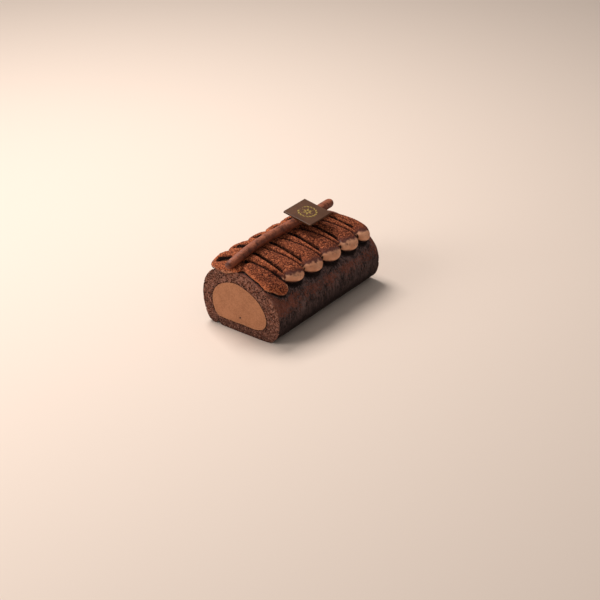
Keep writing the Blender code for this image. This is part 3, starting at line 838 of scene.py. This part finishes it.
def sponge_finish():
    material, tree, at = new_finish("sponge_crumb", 0.95, 0.12)
    above_floor = put(tree, "ShaderNodeSeparateXYZ", {0: at})["Z"]
    crumb = placed(tree, CRUMB, at)
    grit = placed(tree, COCOA, at, Grain_Size=1.6 * MM, Cover=0.38)
    lit = times_plus(tree, grit["Tone"], 0.5, times(tree, crumb["Tone"], 0.5))
    inside = mixed(tree, SPONGE_DIM, SPONGE_CUT, ramp(tree, lit, 0.32, 0.66))
    inside = mixed(tree, inside, SPONGE_RED, grit["Mask"], 0.4)
    # Pale specks are painted highlights of crumbs catching the light.
    inside = mixed(tree, inside, SPONGE_HIGHLIGHT_SPECK, crumb["Specks"], 0.5)
    # Painted shade: a ragged shadow line along the filling and darkening towards the floor go
    # near-black, with the pores.
    shadow_line = times(tree, attribute_of(tree, "rim"), ramp(tree, crumb["Tone"], 0.42, 0.55, 1.0, 0.3))
    dark = larger(tree, shadow_line, ramp(tree, above_floor, 0.0, 24 * MM, 0.55, 0.0))
    inside = mixed(tree, inside, SPONGE_SHADE, larger(tree, crumb["Pores"], dark))

    drawn = stretched(tree, at, 0.5)
    skin_pores = placed(tree, CRUMB, drawn, Pore_Size=2.0 * MM)
    clouds = noise(tree, drawn, 100.0, 5.0, 0.62)
    streaks = noise(tree, stretched(tree, at, 0.3), 520.0, 3.0, 0.6)
    grey = times_plus(tree, streaks, 0.6, times(tree, clouds, 0.4))
    skin = mixed(tree, SKIN_DARK, SKIN_BROWN, ramp(tree, grey, 0.36, 0.64))
    # The skin's pores get painted shade.
    skin = mixed(tree, skin, SPONGE_SHADE, skin_pores["Pores"], 0.85)
    cover = times_plus(tree, minus(tree, clouds, 0.5), 0.7, attribute_of(tree, "dusted"))
    cocoa = placed(tree, COCOA, at, Grain_Size=1.0 * MM, Cover=cover)
    skin = mixed(tree, skin, SKIN_COCOA, cocoa["Mask"], 0.75)
    # Painted shade: the skin goes near-black where the cream hides the sky, and low down towards
    # the floor.
    shaded = larger(tree, ramp(tree, attribute_of(tree, "sky"), 0.2, 0.5, 0.9, 0.0),
                    ramp(tree, above_floor, 4 * MM, 34 * MM, 0.92, 0.0))
    skin = mixed(tree, skin, SPONGE_SHADE, shaded)

    cut = attribute_of(tree, "cut")
    skin_height = minus(tree, cocoa["Height"], skin_pores["Pores"])
    height = put(tree, "ShaderNodeMix", {0: cut, 2: skin_height, 3: crumb["Height"]})[0]
    return coat(material, mixed(tree, skin, inside, cut), None, height, 0.6 * MM, 0.9)


places, normals = corners_of(sponge)
open_to_sky = eased(read_attribute(sponge, "sky"), 0.35, 0.9)
near_front = eased(-places[:, 1], 30 * MM, 70 * MM) * eased(places[:, 2], 20 * MM, 45 * MM)
dusted = np.minimum(0.65 * open_to_sky * eased(normals[:, 2], -0.15, 0.5), 0.5)
dusted += 0.14 * near_front * open_to_sky
set_attribute(sponge, "dusted", dusted)
dress(sponge, sponge_finish())
print("sponge is dusted on", percent(dusted > 0.4), "% of its corners")

# %% [markdown]
# ## The filling's finish
#
# The filling is tan and almost even, with a fine mottling, and drag marks across the cut that
# only show in the relief. One pore near the bottom gets painted shade.

# %% Filling finish
FILLING_TAN = (0.44, 0.178, 0.08)
FILLING_DEEP = (0.32, 0.122, 0.052)
# Painted shade inside the one pore.
FILLING_PORE_SHADE = (0.015, 0.006, 0.004)


def filling_finish():
    material, tree, at = new_finish("filling_cream", 0.55, 0.25)
    clouds, fine = noise(tree, at, 110.0, 4.0), noise(tree, at, 900.0, 4.0, 0.7)
    marks = noise(tree, stretched(tree, at, 4.0, lean=0.35), 120.0, 3.0)
    tone = times_plus(tree, fine, 0.8, times(tree, clouds, 0.3))
    colour = mixed(tree, FILLING_DEEP, FILLING_TAN, ramp(tree, tone, 0.4, 0.66))
    colour = mixed(tree, colour, FILLING_PORE_SHADE, ramp(tree, attribute_of(tree, "open"), 0.15, 0.5))
    return coat(material, colour, None, times_plus(tree, fine, 0.35, marks), 0.35 * MM, 0.5)


dress(filling, filling_finish())
print("filling:", filling.data.materials[0].name)

# %% [markdown]
# ## The cream's finish
#
# Bare cream is tan, satin and almost smooth. Cocoa on it is matte and grainy, with painted shade
# that runs to nearly black in the slits, openings and hollows and under folds, and a painted
# highlight of lighter red-brown on the crests. On the rounded ends the powder thins out: first to a
# dark purplish veil, then to single specks. Steep sides elsewhere keep a dry, light film of it.

# %% Cream finish
CREAM_TAN = (0.8, 0.385, 0.22)
CREAM_DEEP = (0.66, 0.285, 0.155)
CREAM_VEIL = (0.105, 0.032, 0.024)
CREAM_FILM = (0.4, 0.145, 0.07)
COCOA_DARK = (0.038, 0.009, 0.005)
COCOA_MID = (0.235, 0.056, 0.024)
COCOA_LIT = (0.66, 0.19, 0.075)
# Near-black painted shade for slits, openings, hollows and places under folds.
SLIT_SHADE = (0.012, 0.004, 0.003)


def cream_finish():
    material, tree, at = new_finish("cream_and_cocoa", 0.6, 0.15)
    crest, dusted, veiled_ends, sky, painted_slit_shade = (attribute_of(tree, name)
                                      for name in ("crest", "dusted", "veiled_ends", "sky", "painted_slit_shade"))
    clouds = noise(tree, at, 130.0, 3.0)
    bare = mixed(tree, CREAM_DEEP, CREAM_TAN, ramp(tree, clouds, 0.35, 0.65))
    waver = minus(tree, noise(tree, at, 260.0, 3.0), 0.5)
    waver = times_plus(tree, waver, 0.8, dusted)
    film = mixed(tree, CREAM_FILM, CREAM_VEIL, veiled_ends)
    colour = mixed(tree, bare, film, ramp(tree, waver, -0.02, 0.28, 0.0, 0.9))

    cocoa = placed(tree, COCOA, at, Cover=ramp(tree, waver, 0.1, 0.75, 0.08, 1.0))
    # Painted light: crests shift the cocoa towards the lit colour as a highlight, hollows towards
    # the dark one as shade.
    tone = times_plus(tree, crest, 0.5, cocoa["Tone"])
    powder = mixed(tree, COCOA_DARK, COCOA_MID, ramp(tree, tone, 0.1, 0.6))
    powder = mixed(tree, powder, COCOA_LIT, ramp(tree, tone, 0.6, 1.2))
    colour = mixed(tree, colour, powder, cocoa["Mask"])
    # A dark purplish band where the powder thins out on the rounded ends.
    veil_band = times(tree, ramp(tree, waver, 0.1, 0.35, 0.0, 0.75),
                   ramp(tree, waver, 0.45, 0.95, 1, 0))
    colour = mixed(tree, colour, CREAM_VEIL, times(tree, veil_band, veiled_ends))
    # Painted shade: hollows, places under folds, slits and openings go near-black.
    painted_hollow_shade = larger(tree, ramp(tree, crest, -0.7, -0.15, 1, 0), ramp(tree, sky, 0.3, 0.7, 1, 0))
    colour = mixed(tree, colour, SLIT_SHADE, larger(tree, painted_hollow_shade, painted_slit_shade))
    height = times_plus(tree, cocoa["Height"], cocoa["Mask"], times(tree, clouds, 0.4))
    roughness = ramp(tree, cocoa["Mask"], 0.0, 1.0, 0.5, 0.95)
    return coat(material, colour, roughness, height, 0.5 * MM, 0.8)


dress(cream, cream_finish())
print("cream:", cream.data.materials[0].name)

# %% [markdown]
# ## The chocolate stick
#
# The stick is a roll of dark chocolate, satin where the powder has been rubbed off and dusty
# along its top. It is remade like the cream, with flat spots and small dents from handling.

# %% Chocolate stick
stick = smooth_copy("chocolate_stick", "rolled_stick", voxel=0.42 * MM, passes=6)
_, normals = corners_of(stick)
set_attribute(stick, "dusted", eased(normals[:, 2], -0.1, 0.9))
roughen(stick, 1.0, (7, 0.25), (1.6, 0.07))

STICK_DARK = (0.07, 0.016, 0.008)
STICK_BROWN = (0.26, 0.066, 0.029)
STICK_DUST = (0.46, 0.15, 0.074)


def stick_finish():
    material, tree, at = new_finish("dark_chocolate", 0.45, 0.28)
    smear = noise(tree, at, 170.0, 4.0, 0.6)
    colour = mixed(tree, STICK_DARK, STICK_BROWN, ramp(tree, smear, 0.25, 0.6))
    dust = times(tree, attribute_of(tree, "dusted"), 0.4)
    cover = times_plus(tree, minus(tree, smear, 0.5), 0.8, dust)
    cocoa = placed(tree, COCOA, at, Grain_Size=0.8 * MM, Cover=cover)
    return coat(material, mixed(tree, colour, STICK_DUST, cocoa["Mask"], 0.55),
                ramp(tree, cocoa["Mask"], 0.0, 1.0, 0.42, 0.7),
                times_plus(tree, cocoa["Height"], 0.4, smear), 0.4 * MM, 0.5)


dress(stick, stick_finish())
print("stick has", len(stick.data.polygons), "faces")

# %% [markdown]
# ## The plaque and its gold motif
#
# The plaque is tempered chocolate with a satin face, a few rubbed spots and specks of cocoa. Its
# solid stays and gets a finish. The motif on it is a wreath of leaves round a blossom, printed in
# gold. A Geometry Nodes tree sets one petal in a ring as often as wanted: narrow and leaning for
# the wreath, wide for the blossom, and small for the dots between the two.

# %% Plaque and motif
PLAQUE_BROWN = (0.1, 0.036, 0.012)
PLAQUE_DARK = (0.078, 0.028, 0.01)
GOLD = (0.46, 0.3, 0.07)
PRINT_LIFT, PRINT_THICKNESS = 0.03 * MM, 0.08 * MM


def plaque_finish():
    material, tree, at = new_finish("tempered_chocolate", 0.42, 0.3)
    smear = noise(tree, at, 70.0, 5.0, 0.6)
    colour = mixed(tree, PLAQUE_DARK, PLAQUE_BROWN, ramp(tree, smear, 0.35, 0.65))
    cocoa = placed(tree, COCOA, at, Grain_Size=0.9 * MM, Cover=times(tree, smear, 0.28))
    return coat(material, mixed(tree, colour, COCOA_MID, cocoa["Mask"]),
                ramp(tree, smear, 0.3, 0.7, 0.36, 0.48), noise(tree, at, 400.0, 3.0), 0.1 * MM, 0.4)


def painted_instances(tree, points, shape, size, turn, finish):
    """Shapes set on points, sized and turned, made real and given a material."""
    rotation = put(tree, "FunctionNodeEulerToRotation", {0: turn})[0]
    copies = put(tree, "GeometryNodeInstanceOnPoints",
                 {"Points": points, "Instance": shape, "Scale": size, "Rotation": rotation})
    real = put(tree, "GeometryNodeRealizeInstances", {"Geometry": copies[0]})
    return put(tree, "GeometryNodeSetMaterial", {"Geometry": real[0], "Material": finish})[0]


def petal_ring_tree():
    tree, given, result = new_group(
        "GeometryNodeTree", "petal_ring",
        {"Petal": GEOMETRY, "Count": 6, "Radius": 3 * MM, "Length": 3 * MM, "Width": 1 * MM,
         "Lean": 0.0, "Finish": MATERIAL},
        {"Ring": GEOMETRY})
    turn = times(tree, put(tree, "GeometryNodeInputIndex")[0],
                 over(tree, 2 * math.pi, given["Count"]))

    def vector(x, y, z):
        return put(tree, "ShaderNodeCombineXYZ", {0: x, 1: y, 2: z})[0]

    place = vector(times(tree, calc(tree, "COSINE", turn), given["Radius"]),
                   times(tree, calc(tree, "SINE", turn), given["Radius"]), 0.0)
    points = put(tree, "GeometryNodePoints", {"Count": given["Count"], "Position": place})
    size = vector(given["Length"], given["Width"], 1.0)
    lean = vector(0.0, 0.0, plus(tree, turn, given["Lean"]))
    return give(tree, result, Ring=painted_instances(
        tree, points[0], given["Petal"], size, lean, given["Finish"]))


def petal_mesh(name, thickness, steps=7):
    """Closed leaf shape, one unit long and one wide, pointed at both ends, as thick as said."""
    side = [(x, 0.5 * math.sin(math.pi * x) ** 0.8) for x in np.linspace(0, 1, steps)]
    outline = side + [(x, -y) for x, y in side[-2:0:-1]]
    total = len(outline)
    points = np.array([(x, y, z) for z in (0.0, thickness) for x, y in outline])
    faces = [tuple(range(total))[::-1], tuple(range(total, 2 * total))]
    faces += [(i, (i + 1) % total, total + (i + 1) % total, total + i) for i in range(total)]
    return add_mesh(name, points, faces)


def plaque_frame():
    """Matrix that sets flat things on the plaque's top, x along its near edge."""
    bm = joined_copy("chocolate_plaque")
    tops = [f for f in bm.faces if f.normal.z > 0.9]
    corners = [v for f in tops for v in f.verts]
    left, right = (max(corners, key=lambda v: k * v.co.x - v.co.y).co.copy() for k in (-1, 1))
    back = max(corners, key=lambda v: v.co.y - v.co.x).co.copy()
    along = (right - left).normalized()
    out = along.cross(back - left).normalized()
    middle = (right + back) / 2
    bm.free()
    turned = Matrix((along, out.cross(along), out)).transposed().to_4x4()
    return Matrix.Translation(middle + out * PRINT_LIFT) @ turned


def merged(name, pieces, material):
    """One object from the meshes of several, which are removed."""
    bm = bmesh.new()
    for piece in pieces:
        bm.from_mesh(piece.data)
    for face in bm.faces:
        face.material_index = 0
    mesh = bpy.data.meshes.new(name)
    bm.to_mesh(mesh)
    bm.free()
    mesh.materials.append(material)
    for piece in pieces:
        bpy.data.objects.remove(piece)
    return add_object(name, mesh)


dress(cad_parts["chocolate_plaque"], plaque_finish())
gold, tree, at = new_finish("gold_print", 0.42, 0.5)
worn = ramp(tree, noise(tree, at, 900.0, 3.0), 0.45, 0.75)
coat(gold, mixed(tree, GOLD, PLAQUE_BROWN, worn))
tree.nodes["Principled BSDF"].inputs["Metallic"].default_value = 0.55

PETAL_RING = petal_ring_tree()
rings = []
for count, radius, length, width, lean in ((16, 7.4, 3.6, 1.5, 75.0), (6, 0.9, 3.4, 1.9, 0.0),
                                           (6, 4.9, 0.9, 0.9, 0.0)):
    ring = petal_mesh("ring", PRINT_THICKNESS)
    run_nodes(ring, PETAL_RING, Count=count, Radius=radius * MM, Length=length * MM,
              Width=width * MM, Lean=math.radians(lean), Finish=gold)
    rings.append(ring)
motif = merged("gold_motif", rings, gold)
motif.data.transform(plaque_frame())
print("motif has", len(motif.data.polygons), "faces")

# %% [markdown]
# ## Loose cocoa and crumbs
#
# Seen closely, powder and crumb stand up from the surface and make the silhouette rough. A last
# Geometry Nodes tree scatters small grains, as densely as the attribute `sprinkle` says, each
# turned, stretched and sized by chance with a fixed seed. A grain of cocoa has 8 faces, a crumb of
# sponge 20.

# %% Sprinkle tree
FULL_TURN = 6.283


def sprinkle_tree(name, shape, settings):
    tree, given, result = new_group(
        "GeometryNodeTree", name,
        {"Surface": GEOMETRY, "Per Square Millimetre": 1.0, "Smallest": 0.2 * MM,
         "Largest": 0.4 * MM, "Seed": 1, "Finish": MATERIAL},
        {"Grains": GEOMETRY})
    density = times(tree, times(tree, given["Per Square Millimetre"], 1 / MM ** 2),
                    named(tree, "sprinkle"))
    points = put(tree, "GeometryNodeDistributePointsOnFaces",
                 {"Mesh": given["Surface"], "Density": density, "Seed": given["Seed"]})

    def by_chance(low, high, seed):
        return put(tree, "FunctionNodeRandomValue", {0: low, 1: high, "Seed": seed},
                   data_type="FLOAT_VECTOR")[0]

    size = by_chance(given["Smallest"], given["Largest"], given["Seed"])
    turn = by_chance((0, 0, 0), (FULL_TURN,) * 3, plus(tree, given["Seed"], 1.0))
    grain = put(tree, shape, settings)["Mesh"]
    return give(tree, result, Grains=painted_instances(
        tree, points["Points"], grain, size, turn, given["Finish"]))


GRAINS = sprinkle_tree("cocoa_sprinkle", "GeometryNodeMeshUVSphere",
                       {"Segments": 4, "Rings": 2, "Radius": 0.5})
CRUMBS = sprinkle_tree("crumb_sprinkle", "GeometryNodeMeshIcoSphere",
                       {"Radius": 0.5, "Subdivisions": 1})


def sprinkled(name, tree, finish, layers):
    """One piece from grains strewn over others, by (piece, where, density, sizes, seed)."""
    strewn = []
    for piece, where, density, smallest, largest, seed in layers:
        copy = add_object("grains", piece.data.copy())
        set_attribute(copy, "sprinkle", where)
        strewn.append(run_nodes(copy, tree, Per_Square_Millimetre=density, Smallest=smallest * MM,
                                Largest=largest * MM, Seed=seed, Finish=finish))
    return merged(name, strewn, finish)


def grain_finish(name, dark, mid, lit, size):
    material, tree, at = new_finish(name, 0.95, 0.12)
    tone = placed(tree, COCOA, at, Grain_Size=size)["Tone"]
    colour = mixed(tree, dark, mid, ramp(tree, tone, 0.1, 0.5))
    return coat(material, mixed(tree, colour, lit, ramp(tree, tone, 0.5, 1.0)))


cocoa_grain = grain_finish("cocoa_grain", COCOA_DARK, COCOA_MID, COCOA_LIT, 1.3 * MM)
crumb_grain = grain_finish("crumb_grain", SPONGE_DIM, SPONGE_CUT, SPONGE_HIGHLIGHT_SPECK, 1.5 * MM)

_, normals = corners_of(cream)
on_cream = eased(read_attribute(cream, "dusted"), 0.3, 0.7) * eased(normals[:, 2], -0.1, 0.4)
on_cream *= eased(read_attribute(cream, "sky"), 0.3, 0.8)
on_skin = read_attribute(sponge, "dusted") * (1 - read_attribute(sponge, "cut"))
on_stick = eased(read_attribute(stick, "dusted"), 0.4, 0.9)
cocoa = sprinkled("cocoa_grains", GRAINS, cocoa_grain,
                  [(cream, on_cream, 1.1, 0.25, 0.75, 3), (sponge, on_skin, 0.9, 0.2, 0.6, 5),
                   (stick, on_stick, 0.5, 0.15, 0.4, 7)])

places, normals = corners_of(sponge)
on_end = read_attribute(sponge, "cut") * (1 - read_attribute(sponge, "rim"))
on_end *= eased(places[:, 2], 0.5 * MM, 2 * MM)
front_strip = eased(normals[:, 2], 0.3, 0.7) * (places[:, 1] < -62 * MM)
crumbs = sprinkled("sponge_crumbs", CRUMBS, crumb_grain,
                   [(sponge, on_end, 0.45, 0.3, 0.9, 11),
                    (sponge, front_strip, 0.25, 0.3, 0.9, 13)])
print("cocoa grains", len(cocoa.data.polygons), "faces, crumbs", len(crumbs.data.polygons))

# %% [markdown]
# ## Handing over
#
# Every piece rides on the cake's one body, and a piece that takes a solid's place hides that
# solid.

# %% Hand the pieces over
for piece, node in ((sponge, "sponge"), (filling, "filling"), (cream, "piped_cream"),
                    (stick, "chocolate_stick")):
    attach(piece, "root")
    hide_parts(node)
for piece, slot in ((motif, "chocolate_plaque"), (cocoa, "piped_cream"), (crumbs, "sponge")):
    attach(piece, "root")
